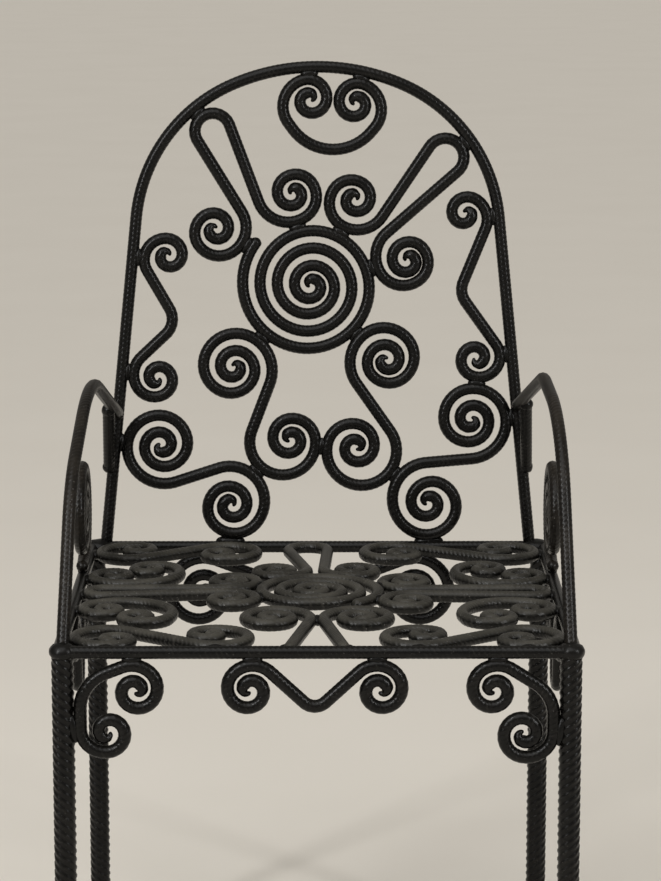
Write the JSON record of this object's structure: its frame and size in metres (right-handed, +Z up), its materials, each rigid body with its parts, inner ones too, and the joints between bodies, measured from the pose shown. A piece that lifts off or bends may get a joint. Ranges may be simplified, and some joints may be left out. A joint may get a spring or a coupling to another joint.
{
  "type": "wrought iron chair",
  "caption": "Free-standing armchair of bent round bar: square open seat on straight legs, arched back and curved arms, all filled with welded spiral scrolls.",
  "frame": {"origin": "on the floor under the middle of the whole chair's box", "axes": "+Z up, -Y the way the chair faces, +X to the right of someone who looks at its front"},
  "size_m": [0.4912, 0.4903, 0.9457],
  "materials": {
    "black_paint": "satin black paint over ribbed iron bar",
    "worn_paint": "satin black paint, worn brown where hands rest",
    "dusty_paint": "satin black paint under a coat of grey-brown dust",
    "weld": "satin black paint over rough weld bead"
  },
  "bodies": {
    "root": {"seat_frame": "black_paint", "front_left_leg": "black_paint", "front_right_leg": "black_paint", "rear_left_leg": "black_paint", "rear_right_leg": "black_paint", "back_hoop": "black_paint", "back_sun_spiral": "black_paint", "back_crest_scroll": "black_paint", "back_left_hairpin": "black_paint", "back_right_hairpin": "black_paint", "back_left_upper_scroll": "black_paint", "back_right_upper_scroll": "black_paint", "back_left_long_scroll": "black_paint", "back_right_long_scroll": "black_paint", "back_left_base_scroll": "black_paint", "back_right_base_scroll": "black_paint", "back_welds": "weld", "left_arm": "worn_paint", "right_arm": "worn_paint", "left_arm_brace": "black_paint", "right_arm_brace": "black_paint", "left_arm_coil": "worn_paint", "right_arm_coil": "worn_paint", "arm_welds": "weld", "left_apron_scroll": "black_paint", "right_apron_scroll": "black_paint", "front_left_bracket": "black_paint", "front_right_bracket": "black_paint", "front_apron_scroll": "black_paint", "rear_apron_scroll": "black_paint", "apron_welds": "weld", "frame_welds": "weld", "seat_sun_spiral": "dusty_paint", "seat_left_hairpin": "dusty_paint", "seat_right_hairpin": "dusty_paint", "seat_rear_hairpin": "dusty_paint", "seat_left_cane": "dusty_paint", "seat_right_cane": "dusty_paint", "seat_front_left_scroll": "dusty_paint", "seat_front_right_scroll": "dusty_paint", "seat_rear_left_scroll": "dusty_paint", "seat_rear_right_scroll": "dusty_paint", "seat_front_left_heart": "dusty_paint", "seat_front_right_heart": "dusty_paint", "seat_rear_left_heart": "dusty_paint", "seat_rear_right_heart": "dusty_paint", "seat_welds": "weld"}
  },
  "joints": []
}
